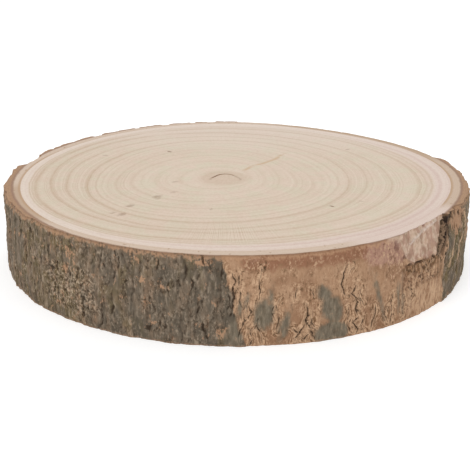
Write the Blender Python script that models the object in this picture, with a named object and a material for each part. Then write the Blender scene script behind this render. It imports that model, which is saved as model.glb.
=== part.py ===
"""Wood slice: a thick cross-cut of a tree trunk, sawn flat on both faces, with its bark left on.

The wood and its bark grew as one piece, so the slice is one solid. It stands on its sawn base,
with the origin in the middle of the base, +Z up and the front of the slice toward -Y.
Angles run anticlockwise from +X, seen from above, about the middle of the trunk.
"""
import math

import bmesh
import bpy
from mathutils import Vector, noise

MM = 0.001

# The sawn block
THICKNESS = 50 * MM
INNER_BARK_RADIUS = 143.1 * MM
# The middle of the slice's outline, which becomes the origin, from the middle of the trunk
PLAN_MIDDLE = (0.86 * MM, 1.98 * MM)
# Slow bulges of the trunk: how many times round, how far out, and the angle of one crest
BULGES = ((2, 3.7 * MM, 88), (3, 1.3 * MM, 118), (4, 1.1 * MM, 11), (5, 0.7 * MM, 21))

# The inner bark is this much smaller at the base than at the top
TAPER = 1.5 * MM

# The outer bark runs from the left round the front to the right: its span at the top and at the
# base. It fills the trunk's hollows out to a rounder outline, and thins away at its two ends.
OUTER_BARK_SPANS = ((173.5, 377), (171.5, 381))
OUTER_BARK_EDGE = 2.5
OUTER_BARK_RADIUS = 145.0 * MM
OUTER_BARK_BULGES = ((1, 1.7 * MM, 1), (2, 2.4 * MM, 62), (3, 0.9 * MM, 65))
# Its grey skin has flaked off along the front, between these angles at the top and at the base
SKIN_THICKNESS = 0.9 * MM
FLAKED_SPANS = ((267, 325.5), (272, 323.5))
# Thin upright slivers of outer bark along the back
SLIVERS = ((90, 96), (99, 102), (104, 110), (113, 120), (122, 133), (137, 154), (155, 162))
SLIVER_THICKNESS = 3.0 * MM
# A flaked edge slopes over this many degrees and wanders by as many
FLAKED_EDGE = 0.6
WANDER_SPACING = 76 * MM
WANDER_LENGTH = 8 * MM
# A chip out of the rim at the left: span, slope and depth
NOTCH_SPAN = (164, 168)
NOTCH_SLOPE = 2
NOTCH_DEPTH = 1 * MM

# Islands of the grey skin that still hold on the flaked front: span in degrees, span in height
ISLANDS = (
    ((273.8, 277.2), (9 * MM, 25 * MM)),
    ((276.4, 277.4), (24 * MM, 30 * MM)),
    ((278.8, 280.7), (3 * MM, 17 * MM)),
    ((286.8, 289.6), (22 * MM, 30 * MM)),
    ((287.4, 292.2), (9 * MM, 23 * MM)),
    ((286.2, 293.6), (0 * MM, 10 * MM)),
)
ISLAND_SLOPE = 1.5 * MM

# On either side of the torn patch's right edge the top is worn back to the inner bark: span, slope
# in degrees, and the height it starts from
WORN = (((294, 325), 6, 40 * MM), ((327, 333), 5, 34 * MM))
# The torn patch at the front right, where the bark came away: its span at the top and at the base's
# height. It slopes in, from this deep at its lower edge to this far inside the inner bark at the top.
TORN_SPANS = ((304, 327), (304, 311.3))
TORN_LOWEST = 32 * MM
TORN_LOWEST_FROM = 312
TORN_RAGGED = 3 * MM
TORN_DEPTH = 1.2 * MM
TORN_PAST_INNER_BARK = 1.8 * MM
# The broken, splintered stretch right below it: span in degrees, span in height
SPLINTER_SPAN = (309, 320)
SPLINTER_HEIGHTS = (19 * MM, 31 * MM)
SPLINTER_SLOPE = 1.5
SPLINTER_DEPTH = 1.4 * MM
SPLINTER_SHARE = 0.5
SPLINTER_SPACING = 5 * MM
SPLINTER_LENGTH = 9 * MM

# Deep cracks in the bark, as (angle, height) from one end to the other
CRACKS = (
    ((269.6, 40 * MM), (269.2, 28 * MM), (268.9, 14 * MM)),
    ((271.6, 24 * MM), (271.3, 10 * MM), (270.6, 1 * MM)),
    ((278.3, 24 * MM), (278.8, 15 * MM), (278.0, 7 * MM)),
    ((284.4, 22 * MM), (284.6, 12 * MM), (286.2, 2 * MM)),
    ((292.8, 40 * MM), (291.8, 31 * MM), (293.2, 24 * MM)),
    ((295.4, 31 * MM), (294.9, 22 * MM), (296.3, 12 * MM), (295.8, 0 * MM)),
    ((326.6, 48.5 * MM), (323.2, 39 * MM), (321.8, 32.5 * MM), (320, 21 * MM)),
    ((245.8, 44 * MM), (245.6, 37 * MM), (244.6, 30 * MM)),
    ((241.2, 18 * MM), (240.9, 2 * MM)),
)
CRACK_DEPTH = 1.4 * MM
CRACK_WIDTH = 2 * MM

# Furrows and grain of the bark
FURROW_SPACING = 7 * MM
FURROW_LENGTH = 22 * MM
FURROW_DEPTH = 1.5 * MM
LUMP_SPACING = 19 * MM
LUMP_HEIGHT = 0.9 * MM
STANDS_OUT = 0.6 * MM
# The flaked stretches have this share of the grey skin's relief
FLAKED_RELIEF = 0.5
# Toward the two sawn faces the relief falls to this share, over this height
CALM_SHARE = 0.4
CALM_HEIGHT = 8 * MM
# Both edges of the bark are chipped where the saw went through, the lower one by this share
CHIP_DEPTH = 1.6 * MM
CHIP_SHARE = 0.6
LOWER_CHIP_SHARE = 0.5
CHIP_HEIGHT = 3 * MM
CHIP_SPACING = 9 * MM

# The curved crack at the pith, which is a little to the front left of the trunk's middle
PITH_CRACK_MIDDLE = (-6.9 * MM, -9.7 * MM)
PITH_CRACK_RADIUS = 9.0 * MM
PITH_CRACK_WAVE = 1.1 * MM
PITH_CRACK_WAVES = 3
PITH_CRACK_CREST = 90
PITH_CRACK_SPAN = (22, 208)
PITH_CRACK_WIDTH = 1.1 * MM
PITH_CRACK_DEPTH = 2.4 * MM
# It narrows to this share of its width at its two ends
PITH_CRACK_END_SHARE = 0.35
PITH_CRACK_POINTS = 22
WELD_DISTANCE = 0.01 * MM

# How finely the wall is divided, round and up
COLUMNS = 310
ROWS = 14


def step(value, start, end):
    """0 up to start, 1 from end on, and a smooth slope between."""
    share = min(max((value - start) / (end - start), 0), 1)
    return share * share * (3 - 2 * share)


def within(value, span, slope):
    """1 inside the span, and a smooth slope down to 0 outside it."""
    return step(value, span[0] - slope, span[0]) * (1 - step(value, span[1], span[1] + slope))


def round_and_up(degrees, height, spacing, length):
    """Smooth noise from -1 to 1 on the wall, stretched upright, with no seam round the trunk."""
    angle = math.radians(degrees)
    around = INNER_BARK_RADIUS / spacing
    return noise.noise(Vector((around * math.cos(angle), around * math.sin(angle), height / length)))


def span_at(height, at_top, at_base):
    """A span in degrees that runs straight from its place at the top to its place at the base."""
    return [low + (high - low) * height / THICKNESS for high, low in zip(at_top, at_base)]


def standing_out(bulges, degrees):
    """How far slow bulges stand out."""
    return sum(out * math.cos(times * math.radians(degrees - crest)) for times, out, crest in bulges)


def inner_bark_radius(degrees):
    """Distance from the middle to the outside of the inner bark, at the top."""
    notch = NOTCH_DEPTH * within(degrees, NOTCH_SPAN, NOTCH_SLOPE)
    return INNER_BARK_RADIUS + standing_out(BULGES, degrees) - notch


def outer_bark_radius(degrees):
    """Distance from the middle to the outer bark, under its grey skin."""
    return OUTER_BARK_RADIUS + standing_out(OUTER_BARK_BULGES, degrees)


def grey_skin(degrees, height):
    """1 where the outer bark still has its grey skin, and 0 where it has none."""
    wander = degrees + FLAKED_EDGE * round_and_up(degrees, height, WANDER_SPACING, WANDER_LENGTH)
    kept = max(
        within(wander + turn, span_at(height, *OUTER_BARK_SPANS), FLAKED_EDGE) for turn in (0, 360)
    )
    flaked = within(wander, span_at(height, *FLAKED_SPANS), FLAKED_EDGE)
    island = max(
        within(degrees, around, FLAKED_EDGE) * within(height, upright, ISLAND_SLOPE)
        for around, upright in ISLANDS
    )
    return kept * max(1 - flaked, island)


def sliver(degrees, height):
    """1 on an upright sliver of outer bark along the back."""
    wander = degrees + FLAKED_EDGE * round_and_up(degrees, height, WANDER_SPACING, WANDER_LENGTH)
    return max(within(wander, span, FLAKED_EDGE) for span in SLIVERS)


def torn_away(degrees, height):
    """Depth of the worn edge, of the torn patch and of the splintered stretch below it."""
    filled = max(outer_bark_radius(degrees) - inner_bark_radius(degrees), 0)
    worn = sum(within(degrees, span, slope) * step(height, start, THICKNESS) for span, slope, start in WORN)
    worn = filled * min(worn, 1)
    span = span_at(height, *TORN_SPANS)
    down = step(degrees, span[0], TORN_LOWEST_FROM)
    lowest = THICKNESS + (TORN_LOWEST - THICKNESS) * down
    in_patch = within(degrees, span, FLAKED_EDGE) * step(height, lowest - TORN_RAGGED, lowest)
    share_up = max(height - lowest, 0) / (THICKNESS - TORN_LOWEST)
    slope = (filled + TORN_PAST_INNER_BARK - TORN_DEPTH) * share_up
    in_splinters = within(degrees, SPLINTER_SPAN, SPLINTER_SLOPE) * within(
        height, SPLINTER_HEIGHTS, TORN_RAGGED
    )
    splinter = SPLINTER_DEPTH * (
        SPLINTER_SHARE + round_and_up(degrees, height, SPLINTER_SPACING, SPLINTER_LENGTH)
    )
    return max(worn, (TORN_DEPTH + slope) * in_patch) + splinter * in_splinters * (1 - in_patch)


def crack_depth(degrees, height):
    """Depth of the nearest deep crack."""
    here = Vector((math.radians(degrees) * INNER_BARK_RADIUS, height))
    depth = 0.0
    for crack in CRACKS:
        line = [Vector((math.radians(turn) * INNER_BARK_RADIUS, up)) for turn, up in crack]
        for start, end in zip(line, line[1:]):
            along = end - start
            share = min(max((here - start).dot(along) / along.length_squared, 0), 1)
            distance = (here - start - along * share).length
            depth = max(depth, CRACK_DEPTH * (1 - step(distance, 0, CRACK_WIDTH)))
    return depth


def wall_radius(degrees, height):
    """Distance from the middle to the wall of the slice."""
    kept = max(within(degrees + turn, OUTER_BARK_SPANS[0], OUTER_BARK_EDGE) for turn in (0, 360))
    tapered = inner_bark_radius(degrees) - TAPER * (1 - height / THICKNESS)
    under = tapered + kept * max(outer_bark_radius(degrees) - tapered, 0)
    skin = grey_skin(degrees, height)
    relief = FLAKED_RELIEF + (1 - FLAKED_RELIEF) * skin
    furrows = FURROW_DEPTH * round_and_up(degrees, height, FURROW_SPACING, FURROW_LENGTH)
    lumps = LUMP_HEIGHT * round_and_up(degrees, height, LUMP_SPACING, LUMP_SPACING)
    calm = CALM_SHARE + (1 - CALM_SHARE) * step(min(height, THICKNESS - height), 0, CALM_HEIGHT)
    # Furrows and lumps are cut into the bark, and hardly stand out of it
    surface = min(relief * (furrows + lumps), STANDS_OUT) * calm
    chips = CHIP_DEPTH * (CHIP_SHARE + round_and_up(degrees, height, CHIP_SPACING, LUMP_SPACING))
    upper = 1 - step(THICKNESS - height, 0, CHIP_HEIGHT)
    lower = LOWER_CHIP_SHARE * (1 - step(height, 0, CHIP_HEIGHT))
    chipped = relief * max(chips, 0) * max(upper, lower)
    away = torn_away(degrees, height) + crack_depth(degrees, height) + chipped
    on_top = SKIN_THICKNESS * skin + SLIVER_THICKNESS * sliver(degrees, height)
    return under + on_top + surface - away


def sawn_block():
    """A round block, divided round and up, whose wall is then moved in and out to the bark's relief."""
    block = bmesh.new()
    bmesh.ops.create_cone(
        block,
        cap_ends=True,
        segments=COLUMNS,
        radius1=INNER_BARK_RADIUS,
        radius2=INNER_BARK_RADIUS,
        depth=THICKNESS,
    )
    bmesh.ops.translate(block, verts=block.verts, vec=(0, 0, THICKNESS / 2))
    upright = [edge for edge in block.edges if abs(edge.verts[0].co.z - edge.verts[1].co.z) > THICKNESS / 2]
    bmesh.ops.subdivide_edges(block, edges=upright, cuts=ROWS - 1)
    for vertex in block.verts:
        place = vertex.co
        degrees = math.degrees(math.atan2(place.y, place.x)) % 360
        radius = wall_radius(degrees, place.z)
        place.x = radius * math.cos(math.radians(degrees))
        place.y = radius * math.sin(math.radians(degrees))
    bmesh.ops.translate(block, verts=block.verts, vec=(-PLAN_MIDDLE[0], -PLAN_MIDDLE[1], 0))
    for face in block.faces:
        sawn = abs(face.normal.z) > 0.99
        face.material_index = 1 if sawn else 0
        face.smooth = not sawn
    mesh = bpy.data.meshes.new("wood_slice")
    block.to_mesh(mesh)
    block.free()
    mesh.set_sharp_from_angle(angle=math.radians(50))
    return mesh


def pith_crack():
    """A thin tapering tube along the curved crack, squeezed upright, to cut it into the top."""
    outline = bpy.data.curves.new("pith_crack_line", "CURVE")
    outline.dimensions = "3D"
    outline.bevel_depth = PITH_CRACK_WIDTH / 2
    outline.bevel_resolution = 1
    outline.use_fill_caps = True
    spline = outline.splines.new("POLY")
    spline.points.add(PITH_CRACK_POINTS - 1)
    for index, point in enumerate(spline.points):
        share = index / (PITH_CRACK_POINTS - 1)
        angle = math.radians(PITH_CRACK_SPAN[0] + (PITH_CRACK_SPAN[1] - PITH_CRACK_SPAN[0]) * share)
        sway = math.cos(PITH_CRACK_WAVES * (angle - math.radians(PITH_CRACK_CREST)))
        reach = PITH_CRACK_RADIUS + PITH_CRACK_WAVE * sway
        point.co = (reach * math.cos(angle), reach * math.sin(angle), 0, 1)
        point.radius = PITH_CRACK_END_SHARE + (1 - PITH_CRACK_END_SHARE) * math.sin(math.pi * share)
    line = bpy.data.objects.new("pith_crack_line", outline)
    cutters.objects.link(line)
    bpy.context.view_layer.update()
    mesh = bpy.data.meshes.new_from_object(line.evaluated_get(bpy.context.evaluated_depsgraph_get()))
    bpy.data.objects.remove(line)
    tube = bmesh.new()
    tube.from_mesh(mesh)
    bmesh.ops.remove_doubles(tube, verts=tube.verts, dist=WELD_DISTANCE)
    tube.to_mesh(mesh)
    tube.free()
    cutter = bpy.data.objects.new("pith_crack_cutter", mesh)
    cutter.location = (
        PITH_CRACK_MIDDLE[0] - PLAN_MIDDLE[0],
        PITH_CRACK_MIDDLE[1] - PLAN_MIDDLE[1],
        THICKNESS,
    )
    cutter.scale = (1, 1, 2 * PITH_CRACK_DEPTH / PITH_CRACK_WIDTH)
    cutter.display_type = "WIRE"
    cutter.hide_render = True
    cutters.objects.link(cutter)
    return cutter


def finish(name, colour, roughness):
    """A plain material of one colour."""
    material = bpy.data.materials.new(name)
    material.use_nodes = True
    shader = material.node_tree.nodes["Principled BSDF"]
    shader.inputs["Base Color"].default_value = (*colour, 1)
    shader.inputs["Roughness"].default_value = roughness
    shader.inputs["Metallic"].default_value = 0
    return material


for old in list(bpy.data.objects):
    bpy.data.objects.remove(old)

parts = bpy.data.collections.new("wood slice")
cutters = bpy.data.collections.new("cutters")
for collection in (parts, cutters):
    bpy.context.scene.collection.children.link(collection)

wood_slice = bpy.data.objects.new("wood_slice", sawn_block())
wood_slice.data.materials.append(finish("bark", (0.21, 0.14, 0.09), 0.95))
wood_slice.data.materials.append(finish("sawn wood", (0.69, 0.56, 0.43), 0.7))
parts.objects.link(wood_slice)

crack_cut = wood_slice.modifiers.new("pith crack", "BOOLEAN")
crack_cut.operation = "DIFFERENCE"
crack_cut.object = pith_crack()
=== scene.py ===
"""The looks of the wood slice: its sawn wood and its bark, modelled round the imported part."""
import math
import random

import bpy
import numpy as np
from mathutils import Matrix, Vector, noise


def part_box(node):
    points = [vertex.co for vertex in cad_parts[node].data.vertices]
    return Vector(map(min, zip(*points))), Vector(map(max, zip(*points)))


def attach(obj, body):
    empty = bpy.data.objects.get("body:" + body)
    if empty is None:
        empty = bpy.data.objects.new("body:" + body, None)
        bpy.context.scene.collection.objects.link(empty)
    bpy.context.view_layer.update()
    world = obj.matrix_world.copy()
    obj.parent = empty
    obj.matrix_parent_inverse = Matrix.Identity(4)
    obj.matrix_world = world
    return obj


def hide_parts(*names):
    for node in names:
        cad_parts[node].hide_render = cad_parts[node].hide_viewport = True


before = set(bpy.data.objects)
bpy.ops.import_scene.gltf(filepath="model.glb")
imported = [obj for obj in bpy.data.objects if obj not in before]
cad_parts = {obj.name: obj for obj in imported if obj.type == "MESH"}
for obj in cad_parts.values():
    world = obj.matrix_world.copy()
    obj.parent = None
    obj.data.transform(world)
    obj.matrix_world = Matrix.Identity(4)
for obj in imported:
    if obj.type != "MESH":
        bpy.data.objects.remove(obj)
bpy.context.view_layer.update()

# The sawn wood
# A cross-cut through a pale, fast-grown trunk, sawn flat and sanded: wide growth rings round a pith
# that sits off the middle, and whiter sapwood. The wood ends exactly where the bark begins.

# Sizes are in millimetres, and Blender's own are in metres
MM = 0.001
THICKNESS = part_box("wood_slice")[1].z / MM
# The origin, which is the slice's middle, from the middle of the trunk
PLAN_MIDDLE = (0.86, 1.98)
WOOD_RADIUS = 137
# Slow bulges: how many times round, how far out, and the angle of one crest
WOOD_BULGES = ((1, 0.7, 179), (2, 3.6, 84), (3, 1.5, 113), (4, 1, 13), (5, 0.6, 21))
PITH = (-7.8, -8.8)
PITH_CRACK_MIDDLE = (-6.9, -9.7)
PITH_CRACK_RADIUS = 9
PITH_CRACK_BULGES = ((3, 1.1, 90),)
PITH_CRACK_SPAN = (22, 208)
PITH_CRACK_WIDTH = 1.1
PITH_CRACK_DEPTH = 2.4
# In the texture layout: where a disc's middle lies, and its scale
TOP_DISC = (0.345, 0.0023)
BASE_DISC = (0.76, 0.00158)
# Upright columns of points round the trunk, which the bark shares
COLUMNS = 1240
WOOD_PLAIN = (208, 191, 172)
WOOD_PALE = (216, 201, 184)
WOOD_WARM = (200, 181, 159)
WOOD_RING = (176, 148, 119)
WOOD_SAP = (219, 204, 193)
WOOD_HEART = (196, 173, 152)
WOOD_STREAK = (190, 156, 120)
WOOD_FLECK = (134, 104, 80)
WOOD_CRACK_SHADE = (158, 118, 84)
WOOD_BLUSH = (196, 168, 158)
WOOD_GREEN = (203, 195, 172)
WOOD_ROSE = (212, 189, 173)
# The growth rings that stand out: mean distance from the pith, bulges, and how dark the line is
RINGS = (
    (48.8, ((1, 11.7, 171), (2, 2.7, 80), (3, 1.9, -27)), 0.3),
    (64, ((1, 7.2, 165), (2, 3, -85), (3, 3.5, -20)), 0.35),
    (87.7, ((1, 5.3, 134), (2, 5.6, 83), (3, 1.5, -20)), 0.7),
    (99, ((1, 7.3, 134), (2, 5, 85), (3, 1, -4)), 0.7),
    (109.8, ((1, 7.9, 110), (2, 3.3, -80), (3, 1.6, -12)), 0.8),
    (122.3, ((1, 8.3, 78), (2, 2.8, 81), (3, 1.9, -15)), 0.8),
)
# Soft flecks in the sawn face, longer outward than wide: angle and distance from the pith, half
# width, and strength
FLECK_SQUEEZE = 0.588
FLECKS = (
    (121, 75, 1.8, 1), (226, 56, 2.8, 0.6), (229, 58, 2, 0.4), (226, 43, 2, 0.35),
    (197, 32, 1.9, 0.4), (228, 79, 2.6, 0.6), (233, 93, 2.6, 0.6), (229.5, 94, 1.8, 0.4),
    (264, 64, 1.4, 0.4), (318, 84, 1.3, 1.2), (147, 97, 1.8, 0.5), (41, 113, 1.6, 0.5),
    (330, 93, 1.2, 0.4),
)


def paint(shades):
    """The linear values that a shader takes, for a colour from 0 to 255 as on a screen."""
    return tuple(((shade / 255 + 0.055) / 1.055) ** 2.4 for shade in shades) + (1,)


def smooth_step(value, start, end):
    """0 at start and 1 at end, which may be the lower, with a smooth slope between."""
    share = np.clip((value - start) / (end - start), 0, 1)
    return share * share * (3 - 2 * share)


def within(value, span, slope):
    """1 inside the span, and a smooth slope down to 0 outside it."""
    start, end = span
    return smooth_step(value, start - slope, start) * smooth_step(value, end + slope, end)


def outline(radius, bulges, degrees):
    """The distance of an outline with slow bulges from its middle, at these angles."""
    waves = (out * np.cos(np.radians(times * (degrees - crest))) for times, out, crest in bulges)
    return radius + sum(waves)


def on_trunk(reach, degrees, middle=(0, 0)):
    """The x and y at these distances and angles from a middle in the trunk."""
    turn = np.radians(degrees)
    x = reach * np.cos(turn) - PLAN_MIDDLE[0] + middle[0]
    return x, reach * np.sin(turn) - PLAN_MIDDLE[1] + middle[1]


def operate_on(piece):
    """Makes operators act on this piece alone."""
    bpy.ops.object.select_all(action="DESELECT")
    piece.select_set(True)
    bpy.context.view_layer.objects.active = piece


def points_of(mesh):
    """A mesh's points as an array, in millimetres."""
    points = np.zeros(len(mesh.vertices) * 3, np.float32)
    mesh.vertices.foreach_get("co", points)
    return points.reshape(-1, 3).astype(float) / MM


def move_points(mesh, x, y, z):
    """Puts a mesh's points at these places, in millimetres."""
    mesh.vertices.foreach_set("co", (np.stack((x, y, z), 1) * MM).astype(np.float32).ravel())


def lay_out(mesh, places):
    """Gives the mesh its texture layout, a place for each corner of each face."""
    layout = mesh.uv_layers.new(name="OFBake")
    layout.data.foreach_set("uv", np.asarray(places, np.float32).ravel())
    mesh.uv_layers.active = layout
    layout.active_render = True


class Value:
    """A socket in a material's nodes, on which operators add Math nodes."""

    def __init__(self, tree, socket):
        self.tree = tree
        self.socket = socket

    def node(self, kind, settings, inputs, output=0):
        """Any node: its type, its settings, and the values or links of its sockets."""
        made = self.tree.nodes.new(kind)
        for name, setting in settings.items():
            setattr(made, name, setting)
        for name, given in inputs.items():
            if isinstance(given, Value):
                self.tree.links.new(given.socket, made.inputs[name])
            else:
                made.inputs[name].default_value = given
        return Value(self.tree, made.outputs[output])

    def maths(self, operation, *values):
        """A Math node on these values."""
        return self.node("ShaderNodeMath", {"operation": operation}, dict(enumerate(values)))

    def __add__(self, other):
        return self.maths("ADD", self, other)

    def __sub__(self, other):
        return self.maths("SUBTRACT", self, other)

    def __rsub__(self, other):
        return self.maths("SUBTRACT", other, self)

    def __mul__(self, other):
        return self.maths("MULTIPLY", self, other)

    def __pow__(self, other):
        return self.maths("POWER", self, other)

    def __abs__(self):
        return self.maths("ABSOLUTE", self)

    __radd__ = __add__
    __rmul__ = __mul__

    def rise(self, start, end, slope="SMOOTHSTEP"):
        """0 at start and 1 at end, which may be the lower, with a smooth slope between."""
        inputs = {"Value": self, "From Min": start, "From Max": end}
        return self.node("ShaderNodeMapRange", {"interpolation_type": slope}, inputs)

    def share(self, start, end):
        """0 at start and 1 at end, and even between them."""
        return self.rise(start, end, "LINEAR")

    def near(self, middle, reach):
        """1 at the middle, and 0 from this reach on, on either side."""
        return abs(self - middle).rise(reach, 0)

    def either(self, other):
        """The larger of two masks."""
        return self.maths("MAXIMUM", self, other)

    def cover(self, *sides):
        """The second colour laid over the first where this mask is 1."""
        under, over = (paint(side) if isinstance(side, tuple) else side for side in sides)
        return self.node("ShaderNodeMix", {"data_type": "RGBA"}, {0: self, 6: under, 7: over}, 2)

    def coat(self, mask, over):
        """Lays another colour over this one where the mask is 1."""
        self.socket = mask.cover(self, over).socket

    def coats(self, grain, *layers, where=1):
        """Coats where a grain rises: its start and end, the strength and the colour of each coat."""
        for start, end, strength, over in layers:
            self.coat(grain.rise(start, end) * strength * where, over)

    def stretched(self, *times):
        """This vector with each of its parts multiplied."""
        return self.node("ShaderNodeVectorMath", {"operation": "MULTIPLY"}, {0: self, 1: times})

    def grain(self, size, detail=2, roughness=0.5, rising=1):
        """Noise from about 0.2 to 0.8, in blots of this size, taller where rising is below 1."""
        inputs = {"Scale": 1 / size, "Detail": detail, "Roughness": roughness}
        return self.node("ShaderNodeTexNoise", {}, {"Vector": self.stretched(1, 1, rising), **inputs})

    def bands(self, times, detail=2):
        """Noise from about 0.2 to 0.8 along this number, so many times as fine."""
        settings = {"noise_dimensions": "1D"}
        return self.node("ShaderNodeTexNoise", settings, {"W": self * times, "Detail": detail})

    def wave(self, times, crest):
        """A wave at this angle in degrees, so many times round the circle, with one crest."""
        return self.maths("COSINE", math.radians(times) * (self - crest))

    def outline(self, radius, bulges):
        """The distance of an outline with slow bulges from its middle, at this angle."""
        return sum((out * self.wave(times, crest) for times, out, crest in bulges), radius)


class Finish:
    """A new material, with its coordinates in millimetres and its shader."""

    def __init__(self, name):
        self.material = bpy.data.materials.new(name)
        self.material.use_nodes = True
        tree = self.material.node_tree
        self.shader = tree.nodes["Principled BSDF"]
        place = Value(tree, tree.nodes.new("ShaderNodeTexCoord").outputs["Object"])
        self.place = place.stretched(1 / MM, 1 / MM, 1 / MM)
        self.x, self.y, self.z = (
            self.place.node("ShaderNodeSeparateXYZ", {}, {0: self.place}, axis) for axis in range(3)
        )

    def held(self, name):
        """A number that the mesh holds at its points."""
        return self.place.node("ShaderNodeAttribute", {"attribute_name": name}, {}, 2)

    def lay(self, colour, roughness, height, sheen):
        """Feeds the shader its colour, roughness, fine relief and sheen."""
        relief = self.place.node("ShaderNodeBump", {}, {"Distance": MM, "Height": height})
        for name, value in (("Base Color", colour), ("Roughness", roughness), ("Normal", relief)):
            self.material.node_tree.links.new(value.socket, self.shader.inputs[name])
        self.shader.inputs["Specular IOR Level"].default_value = sheen
        return self.material


def sawn_wood_finish():
    """Growth rings that follow the trunk's outline, sapwood, rays, a streak and flecks."""
    finish = Finish("sawn wood")
    place = finish.place

    def seen_from(middle):
        """Distance from a place in the trunk, and the angle there in degrees."""
        across = finish.x + (PLAN_MIDDLE[0] - middle[0])
        back = finish.y + (PLAN_MIDDLE[1] - middle[1])
        turn = back.maths("ARCTAN2", back, across) * math.degrees(1)
        return (across * across + back * back) ** 0.5, turn

    reach, turn = seen_from((0, 0))
    pith_reach, pith_turn = seen_from(PITH)
    crack_reach, crack_turn = seen_from(PITH_CRACK_MIDDLE)
    back = finish.y + PLAN_MIDDLE[1]
    edge = turn.outline(WOOD_RADIUS, WOOD_BULGES)

    # Growth counts the rings from the pith outward, with a little wander in them
    wander = (place.grain(30, 1) - 0.5) * 2.5 + (place.grain(7, 1) - 0.5) * 0.8
    wandering = pith_reach + wander * pith_reach.rise(0, 40)
    growth = lines = inside = 0 * pith_reach
    patchy = place.grain(32, 2)
    for mean, bulges, strength in RINGS:
        ring = pith_turn.outline(mean, bulges)
        growth = growth + wandering.share(inside, ring)
        beyond = wandering - ring
        sharp = beyond.rise(-3.2, 0) * beyond.rise(1.4, 0)
        lines = lines.either(sharp * strength)
        inside = ring
    growth = growth + wandering.share(inside, inside + (edge - reach) + (pith_reach - inside))
    # The rings are clearest to the left, and soft near the pith
    clear = pith_turn.wave(1, 200).share(-1, 1)
    lines = lines * patchy.rise(0.15, 0.5) * (0.6 + 0.4 * clear)

    # Between the lines that stand out run thinner ones, unevenly spaced
    count = growth * 4 + (growth.bands(3) - 0.5) * 1.6
    between = count.maths("FRACT", count)
    fine = between.rise(0.35, 0.85) * between.rise(1, 0.85) * growth.bands(2.6).rise(0.38, 0.6)
    finer = growth.bands(22).rise(0.5, 0.7)
    outermost = growth - len(RINGS)
    sap = outermost.rise(0.34, 0.56)
    blotch = place.grain(24, 3).rise(0.35, 0.7)
    fibre = place.grain(0.9, 2).rise(0.3, 0.7)
    colour = (blotch * 0.5).cover(WOOD_PLAIN, WOOD_WARM)
    colour.coat(growth.bands(2.3).rise(0.4, 0.65) * 0.5, WOOD_PALE)
    tints = place.grain(11, 3)
    colour.coats(tints, (0.5, 0.62, 0.5, WOOD_GREEN), (0.5, 0.38, 0.4, WOOD_ROSE))
    # Painted sheen: the top is painted paler toward the back, where the light catches it
    colour.coat(back.rise(30, 120) * 0.55, WOOD_SAP)
    colour.coat(sap * 0.92, WOOD_SAP)
    rosy = turn.wave(1, -30).share(-0.2, 1)
    colour.coat(sap * (1 - rosy) * 0.35, WOOD_PALE)
    colour.coat(sap * rosy * 0.2, WOOD_BLUSH)
    colour.coat((pith_reach + wander).rise(18, 13) * 0.6, WOOD_HEART)
    faint = (0.35 + 0.65 * growth.rise(0.6, 2.4)) * (0.65 + 0.35 * clear) * (1 - sap * 0.8)
    colour.coat((fine * 0.45 + finer * 0.18) * faint, WOOD_RING)
    colour.coat(lines * 0.75, WOOD_RING)
    colour.coat(outermost.near(0.38, 0.09) * 0.32, WOOD_RING)
    colour.coat(outermost.near(0.66, 0.1) * (0.15 + 0.4 * rosy), WOOD_BLUSH)
    sap_lines = abs(growth.bands(4.5) - 0.5).rise(0.05, 0) * outermost.rise(0.1, 0.3)
    colour.coat(sap_lines * (0.2 + 0.4 * rosy), WOOD_BLUSH)
    blush = turn.near(-48, 24) * (edge - reach).rise(10, 0)
    colour.coat(blush * growth.bands(30).rise(0.42, 0.6) * 0.8, WOOD_BLUSH)
    speckle = place.grain(1.6, 3, 0.7)
    colour.coats(speckle, (0.5, 0.36, 0.14, WOOD_RING), (0.52, 0.66, 0.3, WOOD_PALE))
    colour.coat(fibre * 0.08, WOOD_RING)

    # Fine rays run outward through the outer rings
    spokes = pith_turn.bands(math.radians(55), 3)
    rays = pith_reach.near(103, 22) * patchy.rise(0.3, 0.5)
    colour.coat(spokes.rise(0.48, 0.62) * rays * 0.6, WOOD_PALE)
    in_front = pith_turn.near(-88, 21) * pith_reach.near(104, 24)
    colour.coats(spokes, (0.5, 0.6, 0.8, WOOD_PALE), (0.48, 0.38, 0.5, WOOD_RING), where=in_front)

    # A soft tan streak runs outward from near the pith, to the back right
    streak_turn = 54.5 + 2.5 * pith_reach.near(33, 12) + 2 * pith_reach.rise(56, 72)
    round_pith = pith_reach * math.radians(1)
    streak = (round_pith * (pith_turn - streak_turn) + wander * 0.6).near(0, 2.4)
    streak = streak * pith_reach.rise(18, 26) * pith_reach.rise(80, 66)
    colour.coat(streak * place.grain(6, 2).rise(0.28, 0.5) * 0.7, WOOD_STREAK)
    for degrees, distance, size, strength in FLECKS:
        outward = (pith_reach - distance) * FLECK_SQUEEZE
        sideways = round_pith * (pith_turn - math.remainder(degrees, 360))
        away = (outward * outward + sideways * sideways) ** 0.5 + (place.grain(1.6, 2) - 0.5) * 2
        colour.coat(away.rise(size, 0.3 * size) * strength * 0.8, WOOD_FLECK)
    stained = crack_reach.near(crack_turn.outline(PITH_CRACK_RADIUS, PITH_CRACK_BULGES), 1.5)
    colour.coat(stained * (back - PITH_CRACK_MIDDLE[1]).rise(-5, -2) * 0.4, WOOD_FLECK)
    # Painted shade down the pith crack's walls: near the middle, the wood is coloured darker just below
    # the sawn top
    crack_wall_shade = finish.z.rise(THICKNESS - 0.01, THICKNESS - 0.08)
    colour.coat(crack_wall_shade * reach.rise(60, 50), WOOD_CRACK_SHADE)

    height = 0.03 * fibre - 0.05 * lines - 0.02 * fine
    return finish.lay(colour, 0.62 + 0.14 * fibre, height, 0.4)


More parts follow.
